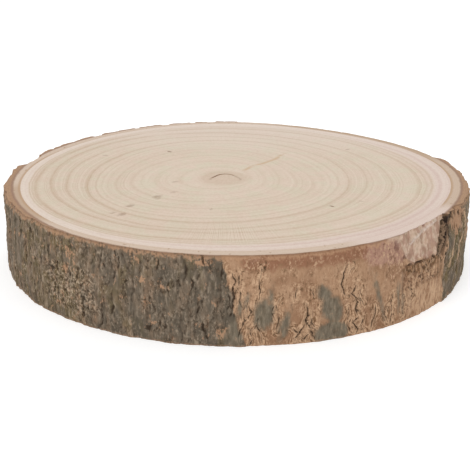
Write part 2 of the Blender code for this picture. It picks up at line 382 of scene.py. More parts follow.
def sawn_wood():
    """A cylinder drawn out to the trunk's outline, with the crack cut at the pith."""
    bpy.ops.mesh.primitive_cylinder_add(vertices=COLUMNS, radius=WOOD_RADIUS * MM, calc_uvs=False)
    wood = bpy.context.object
    wood.name = "sawn_wood"
    x, y, z = points_of(wood.data).T
    degrees = np.round(np.degrees(np.arctan2(y, x)) * COLUMNS / 360) * 360 / COLUMNS
    reach = outline(WOOD_RADIUS, WOOD_BULGES, degrees)
    move_points(wood.data, *on_trunk(reach, degrees), np.where(z > 0, THICKNESS, 0))

    # The cutter is a ring tube that rises clear of the wood beyond the crack's ends
    half_width = PITH_CRACK_WIDTH / 2 * MM
    bpy.ops.mesh.primitive_torus_add(
        major_radius=PITH_CRACK_RADIUS * MM, minor_radius=half_width, major_segments=120, minor_segments=8
    )
    cutter = bpy.context.object
    x, y, z = points_of(cutter.data).T
    turn = np.degrees(np.arctan2(y, x)) % 360
    start, end = PITH_CRACK_SPAN
    along = np.clip((turn - start) / (end - start), 0, 1)
    opening = np.sin(np.pi * along) ** 0.5
    outward = np.hypot(x, y) - PITH_CRACK_RADIUS
    reach = outline(PITH_CRACK_RADIUS, PITH_CRACK_BULGES, turn) + outward * (0.2 + 0.8 * opening)
    squeeze = 2 * PITH_CRACK_DEPTH / PITH_CRACK_WIDTH
    height = THICKNESS + z * squeeze * opening + 2 * PITH_CRACK_DEPTH * (1 - opening)
    move_points(cutter.data, *on_trunk(reach, turn, PITH_CRACK_MIDDLE), height)
    cut = wood.modifiers.new("pith crack", "BOOLEAN")
    cut.operation = "DIFFERENCE"
    cut.object = cutter
    operate_on(wood)
    bpy.ops.object.modifier_apply(modifier=cut.name)
    bpy.data.objects.remove(cutter)
    bpy.ops.object.shade_smooth_by_angle(angle=math.radians(40))

    # Texture layout: the top as a large disc, the base as a smaller one, the side as a strip
    places = []
    for face in wood.data.polygons:
        middle_turn = math.atan2(face.center.y, face.center.x)
        middle, scale = BASE_DISC if face.normal.z < -0.5 else TOP_DISC
        for index in face.vertices:
            x, y, z = wood.data.vertices[index].co / MM
            if abs(face.normal.z) < 0.5 and face.center.xy.length > WOOD_RADIUS * MM / 2:
                past = (math.atan2(y, x) - middle_turn + math.pi) % math.tau - math.pi
                across = 0.26 + 0.245 * (middle_turn + past) / math.pi
                places.append((across, 0.70 + 0.29 * z / THICKNESS))
            else:
                places.append((middle + scale * x, middle + scale * y))
    lay_out(wood.data, places)
    wood.data.materials.clear()
    wood.data.materials.append(sawn_wood_finish())
    return wood


wood = sawn_wood()
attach(wood, "root")
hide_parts("wood_slice")

# The bark
# A ring of pale inner bark, and over it furrowed grey-brown outer bark, whose skin has flaked off
# along the front between islands of it. At the front right a patch is torn away down to the wood.
INNER_BARK_RADIUS = 143.1
BULGES = ((2, 3.7, 88), (3, 1.3, 118), (4, 1.1, 11), (5, 0.7, 21))
# One degree round the wall
DEGREE = math.radians(1) * INNER_BARK_RADIUS
# Farther apart than any two places on the wall
FAR = 1000
WALL_ROWS = 69
RING_STEPS = 4
TAPER = 1.5
NOTCH_SPAN = (164, 168)
NOTCH_SLOPE = 2
NOTCH_DEPTH = 1
# The outer bark fills the trunk's hollows out to a rounder outline, from the left round the front
# to the right: its span at the top and at the base
OUTER_BARK_SPANS = ((173.5, 377), (171.5, 381))
OUTER_BARK_EDGE = 2.5
OUTER_BARK_RADIUS = 145
OUTER_BARK_BULGES = ((1, 1.7, 1), (2, 2.4, 62), (3, 0.9, 65))
SKIN_THICKNESS = 0.9
ISLAND_SHARE = 0.4
FLAKED_SPANS = ((267, 325.5), (272, 323.5))
FLAKED_EDGE = 0.6
SLIVERS = ((90, 96), (99, 102), (104, 110), (113, 120), (122, 133), (137, 154), (155, 162))
SLIVER_THICKNESS = 3
# Spots on the wall: middle in degrees and height, half width in degrees and half height, and for
# an island of grey skin its lean in degrees over the half height
ISLANDS = (
    (275.6, 17.5, 1.9, 8.5, 0.1), (276.9, 27.5, 0.5, 4, 0.1), (272.2, 25, 0.6, 4, 0.3),
    (279.8, 11, 0.9, 7.5, 0.6), (288.2, 26.5, 1.4, 4.5, -0.4), (290, 17.5, 2.3, 7.5, -0.6),
    (290, 4, 3.8, 6.5, 0), (301.4, 18.5, 0.5, 11.5, -1.6), (306.8, 15, 0.35, 5.5, -0.2),
    (308.2, 14, 0.4, 6.5, -0.2), (269.5, 6, 1.3, 7, 0.4), (271, 21, 0.5, 4, 0.2),
)
# By the torn patch's right edge the top is worn back toward the inner bark: span, slope in degrees,
# the height it starts from, and the share worn away
WORN = (((294, 323), 4, 40, 1), ((327, 333), 5, 34, 0.72))
TORN_SPANS = ((304, 327), (304, 311.3))
TORN_LOWEST = 32
TORN_LOWEST_FROM = 312
TORN_DEPTH = 1.2
TORN_PAST_INNER_BARK = 1.8
# A pale ridge of wood that crosses the torn patch
TORN_RIDGE = (310.6, 43.2, 312.8, 44.8, 315.5, 46.7, 318.7, 47.9, 322.4, 48.8)
TORN_RIDGE_HEIGHT = 0.9
TORN_RIDGE_WIDTH = 1.5
SPLINTER_SPAN = (309, 320)
SPLINTER_HEIGHTS = (19, 31)
SPLINTER_DEPTH = 1.4
# Cracks that show in front, by their half width: angle and height of each point along them
CRACKS = (
    (0.45, ((326.6, 48.5, 324.4, 43.5, 323.2, 39.3, 322.4, 35.3, 321.8, 32.7, 321, 30.7),)),
    (0.4, ((295.5, 31, 295.2, 27, 294.7, 24, 296, 19, 295.6, 15, 296.4, 10),)),
    (0.35, (
        (284.3, 22, 284.8, 17, 284.4, 12, 285.5, 7, 286.3, 1), (284.6, 12, 283.4, 8, 282.2, 3, 282.6, 0),
        (293.2, 41, 292.3, 36, 291.9, 30, 292.6, 25, 293.4, 23.5),
        (296.4, 10, 295.2, 7, 296.3, 3, 295.9, 0), (318.9, 27.5, 319, 24, 318.6, 20.5),
    )),
    (0.3, (
        (269.2, 40, 269.9, 36, 269.3, 31, 269.8, 27, 269.2, 22, 268.9, 13),
        (272.6, 26, 271.5, 20, 271.8, 14, 270.8, 9, 270.4, 2),
        (278.8, 26, 278.1, 21, 278.9, 15, 278.2, 8), (315.5, 30, 317, 27, 316.4, 24),
        (319.4, 32, 318.9, 27, 318.7, 21), (322, 30, 322.6, 25, 322.2, 20),
        (245.8, 45, 246, 41, 245.6, 37),
    )),
    (0.25, (
        (272.3, 24, 273, 19, 272.4, 15), (272.8, 11, 273.3, 4, 272.9, 0),
        (294.6, 10, 293.9, 6, 294.8, 2), (327.2, 44.5, 325.6, 42.5, 325.3, 39.5, 326.2, 37.2),
        (326.9, 43, 326.8, 39), (324.6, 37, 324.9, 32, 324.2, 27), (283.2, 4, 284.4, 2, 285, 5),
        (245, 48, 245.2, 43), (244.8, 36, 244.4, 31), (241.4, 18, 240.9, 10, 241.2, 6, 240.8, 2),
        (267.3, 45, 267.2, 38),
    )),
    (0.2, (
        (270.8, 40, 270.6, 34), (274.3, 12, 275.2, 6, 275.6, 1), (285.6, 30, 285.9, 26),
        (282.3, 31, 281.9, 25), (294.4, 39, 293.6, 36), (300.2, 15, 300.8, 10, 300.1, 6, 299.7, 1),
        (305.4, 19, 304.9, 14, 305.3, 9, 304.8, 1), (308.2, 15, 308.7, 9, 308.4, 4),
        (311, 19, 311.9, 14, 310.9, 10), (269.9, 33, 271.2, 29, 270.6, 25, 271.4, 22),
        (268.3, 30, 268.9, 25, 268.1, 20), (273.6, 9, 274.4, 13, 274.9, 17),
        (277.8, 23, 277.2, 19, 277.9, 14), (281.6, 9, 282.6, 6, 281.9, 2),
        (286, 16, 285.4, 11, 286.6, 8), (296.6, 27, 296.2, 22, 297.2, 17),
        (293.6, 17, 294.2, 12, 293.2, 9), (297.4, 9, 297, 5, 298, 1), (252.6, 9, 252.2, 4),
        (256.8, 35, 256.3, 31, 256.9, 26), (263.5, 27, 263.2, 20), (254.7, 46, 254.4, 40),
        (236.8, 17, 236.2, 12), (228.7, 39, 228.4, 33, 228.8, 27),
    )),
    (0.18, (
        (275.2, 44, 274.6, 36, 274.9, 30, 274.2, 23), (287.6, 24, 287.2, 19),
        (303.8, 13, 303.2, 8, 303.9, 3),
    )),
)
# Cracks drawn at random where the photo shows none, at the left and round the back
HIDDEN_CRACKS = 70
CRACK_DEPTH = 1
CRACK_SLOPE = 1
# Half width of a crack of that depth
WIDE_CRACK = 0.3
CURL_SPACING = 1.7
# Where small flakes came off the grey skin and tan shows
FLAKES = (
    (232.3, 40, 1.3, 3), (231.5, 30, 1.1, 2), (234.5, 36, 0.5, 4), (229, 9, 1, 2.2),
    (230.5, 15.5, 0.6, 1), (246, 22.5, 0.7, 1.2), (252, 22, 0.6, 1), (251, 34, 0.8, 1.2),
    (250, 44, 0.8, 1.6), (253, 10, 0.5, 1.2), (263.5, 46, 1.8, 1.6), (267.5, 8, 1.2, 3),
    (212, 12, 0.9, 1.4), (255, 31, 1, 0.9), (190, 41, 1.6, 4), (196, 36, 1.3, 3),
    (332.4, 43.5, 4.8, 7), (331, 36, 1.6, 3), (344, 30, 1.5, 9),
)
# Soft brown clouds on the flaked front
CLOUDS = (
    (274.3, 43, 1.8, 2.8), (277, 31, 0.7, 1.2), (282.5, 17, 1.4, 6), (285.8, 25, 0.9, 6),
    (284.6, 39, 0.8, 2), (299, 47, 4.5, 3.5), (301, 39, 2.2, 6), (305.5, 32, 3, 5.5),
    (295.5, 45, 1.6, 2), (299.5, 18, 1, 3), (287.5, 2, 1.5, 3), (290.5, 5, 4.5, 6),
    (284, 31, 2.6, 5), (279, 36, 1.6, 3), (310.5, 26, 3, 4), (279.5, 6, 6, 7),
    (300.5, 7, 5, 8),
)
# Painted shadow under the torn patch's lower edge, in dark brown
STEP_SHADOWS = ((316.5, 28, 4.6, 4), (310.5, 29.5, 2.6, 3), (322.4, 26, 1, 6))
# Pale stripes where the bark split at the right
PALE_STRIPES = (
    (335.4, 38, 335, 33.7, 333.2, 26.9, 332.5, 21.2, 331.1, 14.7),
    (337.6, 46, 338.6, 36, 339.4, 27),
    (328.6, 34, 328.2, 25, 327.4, 19),
)
# Dark stains and pits: partly real stains, partly painted shade in the pits and under the torn patch's
# lower edge
STAINS_AND_SHADE = (
    (305.9, 44.7, 0.9, 3.6), (308.4, 37.6, 0.8, 1.5), (316.9, 49.1, 0.5, 0.8), (310.2, 32, 0.7, 1.2),
    (313.6, 31.2, 2, 0.6), (315.6, 27.4, 0.6, 1.2), (318.9, 25.4, 0.6, 2.4), (318.7, 21.6, 0.5, 1.4),
    (319.6, 30.5, 0.6, 1.6), (313.8, 22.9, 0.6, 1.1), (315.6, 20.5, 0.5, 1), (317.2, 24.2, 0.5, 1.6),
    (312, 27, 0.5, 1.2), (329, 48.2, 1.5, 2.6), (332, 48.4, 1.3, 2.4), (334.6, 45.8, 0.5, 2.2),
    (336.1, 42, 0.5, 3.6), (324.9, 25, 0.5, 4), (218.6, 43, 0.7, 2.6), (227, 27, 0.8, 2),
    (236.5, 16, 0.7, 1.8), (252, 7, 0.6, 1.8), (260.3, 41, 0.4, 4),
)
GREY_DARK = (78, 66, 52)
GREY_PLAIN = (122, 106, 89)
GREY_PALE = (164, 147, 127)
GREY_BROWN = (138, 111, 88)
BUFF = (178, 158, 134)
SLATE = (89, 81, 70)
OLIVE = (106, 92, 60)
ISLAND_PLAIN = (106, 96, 81)
ISLAND_PALE = (126, 115, 98)
TAN_DARK = (145, 109, 81)
TAN_SHADE = (106, 79, 54)
TAN_PLAIN = (173, 138, 109)
TAN_PALE = (197, 163, 132)
CLOUD = (136, 101, 76)
RUST = (137, 94, 71)
FRESH = (174, 136, 106)
RIM_BROWN = (112, 84, 64)
TORN_PLAIN = (179, 145, 127)
TORN_PALE = (208, 182, 161)
TORN_TAN = (170, 139, 113)
BROKEN = (86, 68, 48)
PLUM = (130, 94, 84)
PLUM_PALE = (168, 130, 113)
CREVICE = (54, 42, 31)
DEEP_SHADOW = (38, 26, 20)
INNER_PALE = (204, 184, 166)
INNER_TAN = (181, 156, 132)
INNER_LINE = (177, 146, 117)
DARK_LINE = (142, 114, 98)
OUTER_CUT = (171, 139, 112)

turns = np.arange(COLUMNS) * 360 / COLUMNS
rows = np.linspace(0, THICKNESS, WALL_ROWS)
around = turns[:, None] + 0 * rows[None, :]
up = 0 * turns[:, None] + rows[None, :]


def wall_grain(spacing, length, start=0):
    """Noise from -1 to 1 over the wall, in blots this wide and tall, with no seam."""
    reach = INNER_BARK_RADIUS / spacing
    angles = np.radians(turns)
    sides = list(zip(reach * np.cos(angles), reach * np.sin(angles)))
    return np.array([[noise.noise((x, y, start + row / length)) for row in rows] for x, y in sides])


def softened(field, times):
    """A field over the wall, averaged with its neighbours this many times."""
    for _ in range(times):
        field = (np.roll(field, 1, 0) + 2 * field + np.roll(field, -1, 0)) / 4
        ends = np.pad(field, ((0, 0), (1, 1)), mode="edge")
        field = (ends[:, :-2] + 2 * field + ends[:, 2:]) / 4
    return field


def inside_span(value, span):
    """Distance inward from the nearer end of a span, below 0 outside it."""
    return np.minimum(value - span[0], span[1] - value)


def span_here(spans):
    """A span in degrees over the wall, which runs straight from the top to the base."""
    return [low + (high - low) * up / THICKNESS for high, low in zip(*spans)]


def inside_spots(spots, sideways):
    """Distance inward from the outline of the nearest spot, below 0 outside it."""
    deepest = 0 * around - FAR
    for degrees, height, half_width, half_height, *lean in spots:
        upward = (up - height) / half_height
        across = (around + sideways - degrees - sum(lean) * upward) / half_width
        deepest = np.maximum(deepest, (1 - np.hypot(across, upward)) * half_width * DEGREE)
    return deepest


def beside(line, sway):
    """Distance from a line on the wall, the same signed by its side, and the share along it."""
    points = list(zip(line[::2], line[1::2]))
    nearest = 0 * around + FAR
    side = 0 * around + FAR
    share_along = 0 * around
    for index, (start, end) in enumerate(zip(points, points[1:])):
        x = ((around + sway - start[0] + 180) % 360 - 180) * DEGREE
        y = up - start[1]
        step_x = (end[0] - start[0]) * DEGREE
        step_y = end[1] - start[1]
        length = math.hypot(step_x, step_y)
        along = np.clip((x * step_x + y * step_y) / length**2, 0, 1)
        distance = np.hypot(x - along * step_x, y - along * step_y)
        closer = distance < nearest
        nearest = np.where(closer, distance, nearest)
        side = np.where(closer, np.copysign(distance, x * step_y - y * step_x), side)
        share_along = np.where(closer, (index + along) / (len(points) - 1), share_along)
    return nearest, side, share_along


def skin_side():
    """Distances inward from the edges of the kept skin, of the slivers, and of the islands."""
    wander = around + FLAKED_EDGE * wall_grain(76, 8)
    kept = np.maximum(*(inside_span(wander + turn, span_here(OUTER_BARK_SPANS)) for turn in (0, 360)))
    kept = np.minimum(kept, -inside_span(wander, span_here(FLAKED_SPANS))) * DEGREE
    slivers = np.maximum.reduce([inside_span(wander, span) for span in SLIVERS]) * DEGREE
    ragged = 0.3 * wall_grain(3, 4, 3)
    return kept, slivers, inside_spots(ISLANDS, ragged)


def torn_side():
    """Distance inward from the torn patch's edge, its lowest height, and broken bark beside it."""
    span = span_here(TORN_SPANS)
    down = smooth_step(around, span[0], TORN_LOWEST_FROM)
    lowest = THICKNESS + (TORN_LOWEST - THICKNESS) * down + 1.8 * wall_grain(3, 5, 4)
    before_end = (span[1] - around) * DEGREE + 0.5 * wall_grain(1.6, 7, 9)
    broken = within(before_end, (-5, 0.7), 1.2) * smooth_step(up, lowest - 5, lowest)
    return np.minimum(inside_span(around, span) * DEGREE, up - lowest), lowest, broken


def crack_fields():
    """Distance from the nearest crack, the same signed by its side, and its half width."""
    cracks = [(breadth, line) for breadth, lines in CRACKS for line in lines]
    draw = random.Random(5)
    for _ in range(HIDDEN_CRACKS):
        degrees = draw.choice((draw.uniform(-35, 165), draw.uniform(168, 265)))
        height = draw.uniform(-5, 46)
        line = [degrees, height]
        for _ in range(draw.randint(1, 3)):
            degrees += draw.uniform(-0.7, 0.7)
            height += draw.uniform(2.5, 5)
            line += [degrees, height]
        cracks.append((draw.uniform(0.15, 0.28), line))

    sway = 0.3 * wall_grain(2.4, 2.8) + 0.2 * wall_grain(6, 6, 5)
    unevenness = 1 + 1.1 * wall_grain(2.5, 3, 7)
    nearest = 0 * around + FAR
    side = 0 * around + FAR
    breadths = 0 * around
    for breadth, line in cracks:
        distance, signed, along = beside(line, sway)
        closer = distance < nearest
        nearest = np.where(closer, distance, nearest)
        side = np.where(closer, signed, side)
        tapered = breadth * unevenness * smooth_step(np.minimum(along, 1 - along), -0.05, 0.2)
        breadths = np.where(closer, tapered, breadths)
    breadths = np.where(nearest < 1.8, breadths, -1)
    return nearest, np.clip(side, -3, 3), breadths


def bark_fields():
    """The wall's distance from the trunk's middle, and what shows at each place on it."""
    kept_side, sliver_side, island_side = skin_side()
    # Below the top the grey skin closes over some of the gaps between the slivers
    closed = 10 * wall_grain(15, 26, 17) + 3 * wall_grain(5, 7, 18)
    closed = sliver_side + (closed + 2) * smooth_step(up, 47, 36)
    grey_side = np.maximum(np.maximum(kept_side, closed), island_side)
    skin = np.maximum(smooth_step(kept_side, -1, 0.3), smooth_step(island_side, -0.6, 0.3))
    flush = ISLAND_SHARE + (1 - ISLAND_SHARE) * smooth_step(kept_side, -1, 0.3)
    sliver = smooth_step(sliver_side, -1.2, 0)
    in_torn, lowest, broken = torn_side()
    torn = smooth_step(in_torn, -1, 0.8)

    # The wall without its relief
    notch = NOTCH_DEPTH * within(around, NOTCH_SPAN, NOTCH_SLOPE)
    inner = outline(INNER_BARK_RADIUS, BULGES, around) - notch
    tapered = inner - TAPER * (1 - up / THICKNESS)
    outer = outline(OUTER_BARK_RADIUS, OUTER_BARK_BULGES, around)
    kept = np.maximum(*(within(around + turn, OUTER_BARK_SPANS[0], OUTER_BARK_EDGE) for turn in (0, 360)))
    under = tapered + kept * np.maximum(outer - tapered, 0)

    # Where the bark is worn, torn and splintered
    filled = np.maximum(outer - inner, 0)
    worn = filled * np.maximum.reduce([
        share * within(around, span, edge) * smooth_step(up, start, THICKNESS)
        for span, edge, start, share in WORN
    ])
    slope = np.maximum(up - lowest, 0) / (THICKNESS - TORN_LOWEST)
    slope = slope * (filled + TORN_PAST_INNER_BARK - TORN_DEPTH)
    ridge = smooth_step(beside(TORN_RIDGE, 0.3 * wall_grain(4, 4))[0], TORN_RIDGE_WIDTH, 0)
    torn_depth = TORN_DEPTH + slope - TORN_RIDGE_HEIGHT * ridge + 0.45 * wall_grain(4, 5, 6)
    splinters = within(around, SPLINTER_SPAN, 1.5) * within(up, SPLINTER_HEIGHTS, 3) * (1 - torn)
    splinter = SPLINTER_DEPTH * (0.5 + 0.8 * wall_grain(5, 9) + 0.8 * wall_grain(1.7, 3))
    pits = inside_spots(STAINS_AND_SHADE, 0.3 * wall_grain(2, 2, 12))
    torn_away = np.maximum(worn, torn_depth * torn) + splinter * splinters

    # The solid's slow furrows and lumps, then finer ones over them
    raised = np.maximum(skin * flush, sliver)
    relief = 0.5 + 0.5 * raised
    slow = 1.5 * wall_grain(7, 22) + 0.9 * wall_grain(19, 19)
    calm = 0.4 + 0.6 * smooth_step(np.minimum(up, THICKNESS - up), 0, 8)
    slow = np.minimum(relief * slow, 0.6) * calm
    seams = smooth_step(np.abs(wall_grain(4.5, 15, 2)), 0.14, 0)
    scales = 0.5 * wall_grain(3.2, 5, 1) + 0.5 * wall_grain(1.6, 2, 6)
    pebbly = within(around, (226, 238), 3) * within(up, (10, 30), 5)
    pebbles = 0.6 * wall_grain(2.2, 2.4, 11)
    even = within(around, (246, 270), 8)
    rough = raised * (scales - 0.5 * seams + pebbles * pebbly)
    rugged = smooth_step(wall_grain(9, 12, 20) + 0.4 * wall_grain(4, 5, 21), -0.35, 0.1)
    rugged = np.maximum(rugged * (1 - 0.25 * even), pebbly)
    rough = rough * (0.5 + 0.5 * calm) * (0.5 + 0.5 * rugged)
    streaks = 0.18 * wall_grain(1.8, 10, 8) + 0.22 * wall_grain(4, 14, 1)
    lower_front = smooth_step(up, 26, 10)
    waves = 0.4 * lower_front * wall_grain(2.4, 9, 15)
    smooth = (1 - skin) * ((streaks + waves) * (1 - 0.7 * torn) + 0.14 * wall_grain(1.6, 1.8, 2))

    chips = 1.5 * (0.6 + wall_grain(9, 19)) + 0.4 * wall_grain(2.5, 3, 3)
    edges = np.maximum(smooth_step(up, THICKNESS - 3, THICKNESS), 0.5 * smooth_step(up, 3, 0))
    chipped = relief * np.maximum(chips, 0) * edges
    chipped = chipped * (1 - within(around, (300, 330), 3))
    crack_distance, crack_side, crack_breadth = crack_fields()
    wide = np.clip(crack_breadth / WIDE_CRACK, 0, 1.6)
    cracks = CRACK_DEPTH * wide * smooth_step(crack_distance, CRACK_SLOPE, 0)

    surface = slow + rough + smooth - cracks - 0.9 * smooth_step(pits, -0.3, 1)
    skins = SKIN_THICKNESS * skin * flush + SLIVER_THICKNESS * sliver
    radius = under + skins + surface - torn_away - chipped
    splintered = surface - splinter * splinters
    # How far each place lies below its neighbours: the bark's colours use it for painted shade in the
    # hollows and a painted highlight on the rises
    hollow = softened(splintered, 6) - splintered
    stripe_sway = 0.3 * wall_grain(3, 4)
    stripe = np.minimum.reduce([beside(line, stripe_sway)[0] for line in PALE_STRIPES])
    return dict(
        radius=radius, broken=broken, splinters=splinters, ridge=ridge, hollow=hollow, even=even,
        rugged=rugged, pebbly=pebbly, lower_front=lower_front, stain_and_shade_side=pits,
        crack_side=crack_side, crack_breadth=crack_breadth,
        crack_distance=np.clip(crack_distance, 0, 6),
        grey_side=np.clip(grey_side, -4, 4),
        torn_side=np.clip(in_torn, -4, 4),
        island_side=np.clip(island_side, -4, 4),
        flake_side=inside_spots(FLAKES, 0.5 * wall_grain(2, 2.4, 13)),
        cloud_side=np.clip(inside_spots(CLOUDS, 0 * around), -6, 6),
        stripe=smooth_step(stripe, 1.8, 0.6),
        step_shadow_side=np.clip(inside_spots(STEP_SHADOWS, 0 * around), -6, 6),
        rust=within(around, (273, 300), 4) * smooth_step(up, 38, 46),
        plum=within(around, (300, 312), 5) * smooth_step(up, 33, 41),
        pale_below=within(around, (312, 323), 5) * smooth_step(up, 22, 12),
        olive=within(around, (212, 232), 8) + 1.2 * within(around, (322, 352), 4),
    )


def grey_bark_colour(finish):
    """Grey skin: scales, streaks, tints, pebbles, tan flakes and smooth islands."""
    place = finish.place
    held = finish.held
    hollow = held("hollow")
    scales = place.grain(1.9, 4, 0.75, 0.65)
    streaks = place.grain(2, 3, 0.6, 0.3)
    both = scales * 0.5 + streaks * 0.5
    broad = place.grain(5, 3, 0.6, 0.3)
    blots = place.grain(8, 3, 0.6, 0.7)
    tints = place.grain(13, 3, 0.6, 0.5)
    rugged = held("rugged")
    colour = both.rise(0.38, 0.54).cover(GREY_DARK, GREY_PLAIN)
    colour.coat(broad.rise(0.47, 0.6) * 0.6, GREY_BROWN)
    colour.coat(blots.rise(0.48, 0.36) * 0.5, GREY_DARK)
    slate = (tints.rise(0.48, 0.36) * 0.5).either(held("even") * blots.rise(0.7, 0.4) * 0.85)
    colour.coat(slate, SLATE)
    olive = (tints.rise(0.52, 0.62) * 0.5).either(held("olive") * blots.rise(0.42, 0.58) * 0.65)
    colour.coat(olive, OLIVE)
    even = broad.rise(0.36, 0.62).cover(SLATE, GREY_PLAIN)
    even.coats(streaks, (0.5, 0.64, 0.45, GREY_PALE), (0.48, 0.36, 0.45, GREY_DARK))
    colour.coat((1 - rugged) * 0.65, even)
    pale = both.rise(0.525, 0.62) * (0.35 + 0.45 * rugged) * (1 - 0.3 * held("even"))
    colour.coat(pale, GREY_PALE)
    grit = place.grain(1, 2, 0.6, 0.6)
    gritty = place.grain(7, 2, 0.5, 0.5).rise(0.42, 0.6) * (0.25 + 0.75 * rugged)
    colour.coat(grit.rise(0.54, 0.66) * gritty * 0.5, GREY_PALE)
    colour.coat(grit.rise(0.46, 0.34) * (0.15 + 0.45 * gritty), GREY_DARK)
    pebbles = place.grain(1.5, 3, 0.7)
    colour.coats(pebbles, (0.52, 0.62, 0.8, BUFF), (0.46, 0.37, 0.65, CREVICE), where=held("pebbly"))
    colour.coat(held("pebbly") * scales.rise(0.56, 0.64) * 0.6, TAN_PLAIN)
    # Painted glints: pale buff on the peaks of the pebble grain
    colour.coat(pebbles.rise(0.62, 0.7) * blots.rise(0.46, 0.6) * 0.8, BUFF)
    flaked = (held("flake_side") * 0.7 + (scales - 0.5) * 14).rise(0.1, 1)
    small_flakes = place.grain(3.4, 4, 0.75, 0.6).rise(0.6, 0.66)
    colour.coat(flaked.either(small_flakes * 0.8) * 0.85, FRESH)
    fissures = abs(place.grain(3.6, 3, 0.6, 0.3) - 0.5).rise(0.03, 0) * blots.rise(0.44, 0.56)
    colour.coat(fissures * 0.75, CREVICE)
    # Painted shade in the hollows and a painted highlight on the rises
    colour.coats(hollow, (0.02, 0.4, 0.65, CREVICE), (-0.1, -0.45, 0.3, GREY_PALE))

    # The islands are smoother, with tan specks
    smooth = streaks.rise(0.4, 0.62).cover(ISLAND_PLAIN, ISLAND_PALE)
    smooth.coats(both, (0.46, 0.36, 0.5, GREY_DARK), (0.56, 0.64, 0.5, TAN_PLAIN))
    return (held("island_side").rise(-2, 0) * 0.85).cover(colour, smooth)


def flaked_bark_colour(finish):
    """The tan layer under the skin: mottled, curling by its cracks, rusty along the top."""
    place = finish.place
    held = finish.held
    fibres = place.grain(1.8, 3, 0.6, 0.25)
    crackle = place.grain(1.6, 4, 0.75, 0.7)
    mottle = place.grain(9, 3, 0.6, 0.6)
    bands = place.grain(4.5, 3, 0.6, 0.3)
    hollow = held("hollow")
    lower_front = held("lower_front")
    colour = (mottle.rise(0.5, 0.62) * 0.5).cover(TAN_PLAIN, TAN_PALE)
    colour.coat((mottle.rise(0.5, 0.37) * 0.5).either(lower_front * 0.4), TAN_DARK)
    colour.coat(bands.rise(0.5, 0.37) * (0.35 + 0.45 * lower_front), TAN_DARK)
    colour.coat(fibres.rise(0.5, 0.35) * (0.25 + 0.45 * lower_front), TAN_DARK)
    ragged = (mottle - 0.5) * 12 + (crackle - 0.5) * 9
    colour.coat((held("cloud_side") + ragged).rise(-2, 2) * 0.6, CLOUD)
    rusty = held("rust") * 1.3 + (bands - 0.5) * 1.8 + (crackle - 0.5) * 1.8
    colour.coat(rusty.rise(0.3, 1) * 0.85, RUST)
    pale = held("pale_below") * fibres.rise(0.36, 0.52)
    colour.coat(pale * bands.rise(0.36, 0.5) * 0.9, TAN_PALE)
    torn_edge = (held("torn_side") + ragged * 0.8).rise(-6, 0)
    colour.coat(torn_edge * 0.7, CLOUD)
    plum = held("plum") * 1.2 + (mottle - 0.5) * 2 + (crackle - 0.5) * 1.2
    plum = plum.rise(0.2, 0.9) * 0.85
    colour.coat(plum, fibres.rise(0.3, 0.46).cover(PLUM, PLUM_PALE))
    colour.coat(plum * crackle.rise(0.5, 0.6) * 0.6, TORN_TAN)

    # The bark curls back from the cracks in fine pale and dark lines, and is crackled there
    by_crack = held("crack_distance").rise(4.5, 1)
    away = held("crack_distance") + (bands - 0.5) * 5 + (crackle - 0.5) * 0.8
    curls = away.maths("SINE", away * (math.tau / CURL_SPACING))
    curling = by_crack * (0.4 + 0.6 * lower_front)
    colour.coats(curls, (0.1, 0.9, 0.7, TAN_PALE), (-0.1, -0.9, 0.8, TAN_SHADE), where=curling)
    busy = 0.35 + 0.65 * by_crack.either(mottle.rise(0.5, 0.6) * 0.6)
    colour.coats(crackle, (0.53, 0.61, 1, TAN_PALE), (0.47, 0.38, 1, TAN_SHADE), where=busy)
    colour.coat(crackle.rise(0.43, 0.35) * by_crack * 0.7, CREVICE)
    shards = (0.53, 0.44, 0.65, RIM_BROWN), (0.55, 0.62, 0.6, TAN_PALE), (0.44, 0.38, 0.7, CREVICE)
    colour.coats(crackle, *shards, where=held("splinters"))
    # Painted shadow of the step under the torn patch
    step_shadow = (held("step_shadow_side") + ragged * 0.6).rise(-1.6, 1)
    dark = crackle.rise(0.58, 0.48).cover(TAN_DARK, TAN_SHADE)
    dark.coat(crackle.rise(0.44, 0.38), CREVICE)
    colour.coat(step_shadow * 0.85, dark)
    # Painted shade in the hollows and a painted highlight on the rises
    colour.coats(hollow, (0.05, 0.4, 0.6, RIM_BROWN), (-0.05, -0.3, 0.4, TAN_PALE))
    return colour


def sawn_rim_colour(finish):
    """The cut ring: a tan line at the wood, pale inner bark, a dark line, brown outer bark."""
    place = finish.place
    held = finish.held
    beyond_wood = held("beyond_wood")
    beyond_inner = held("beyond_inner")
    wobble = (place.grain(5, 3, 0.6) - 0.5) * 1.6
    fibres = place.grain(1.3, 3, 0.7).rise(0.35, 0.65)
    depth = beyond_wood + wobble * 0.5
    layers = depth.bands(1 / 1.1)
    colour = (fibres * 0.25).cover(INNER_PALE, INNER_TAN)
    colour.coats(layers, (0.52, 0.64, 0.6, INNER_TAN), (0.47, 0.36, 0.5, WOOD_SAP))
    colour.coat(held("browned") * 0.8, INNER_TAN)
    colour.coat(place.grain(2.6, 2).rise(0.66, 0.72) * 0.7, TAN_DARK)
    at_wood = depth.near(0.8, 1.2) * held("lined")
    colour.coat(at_wood * 0.8, INNER_LINE)
    colour.coat(held("tanned") * (beyond_wood + wobble).rise(-1, 3), INNER_TAN)
    colour.coat(held("blushed") * 0.8, WOOD_SAP)
    colour.coat(held("blushed") * layers.rise(0.42, 0.56) * 0.5, WOOD_BLUSH)
    outer = (fibres * 0.5).cover(OUTER_CUT, TAN_DARK)
    outer.coat(layers.rise(0.54, 0.64) * 0.5, TAN_PALE)
    outer.coat(fibres.rise(0.4, 0.1) * 0.4, RIM_BROWN)
    colour.coat((beyond_inner + wobble).rise(-1, 0.5), outer)
    return ((beyond_inner + wobble * 0.7).near(0.1, 1.5) * 0.7).cover(colour, DARK_LINE)


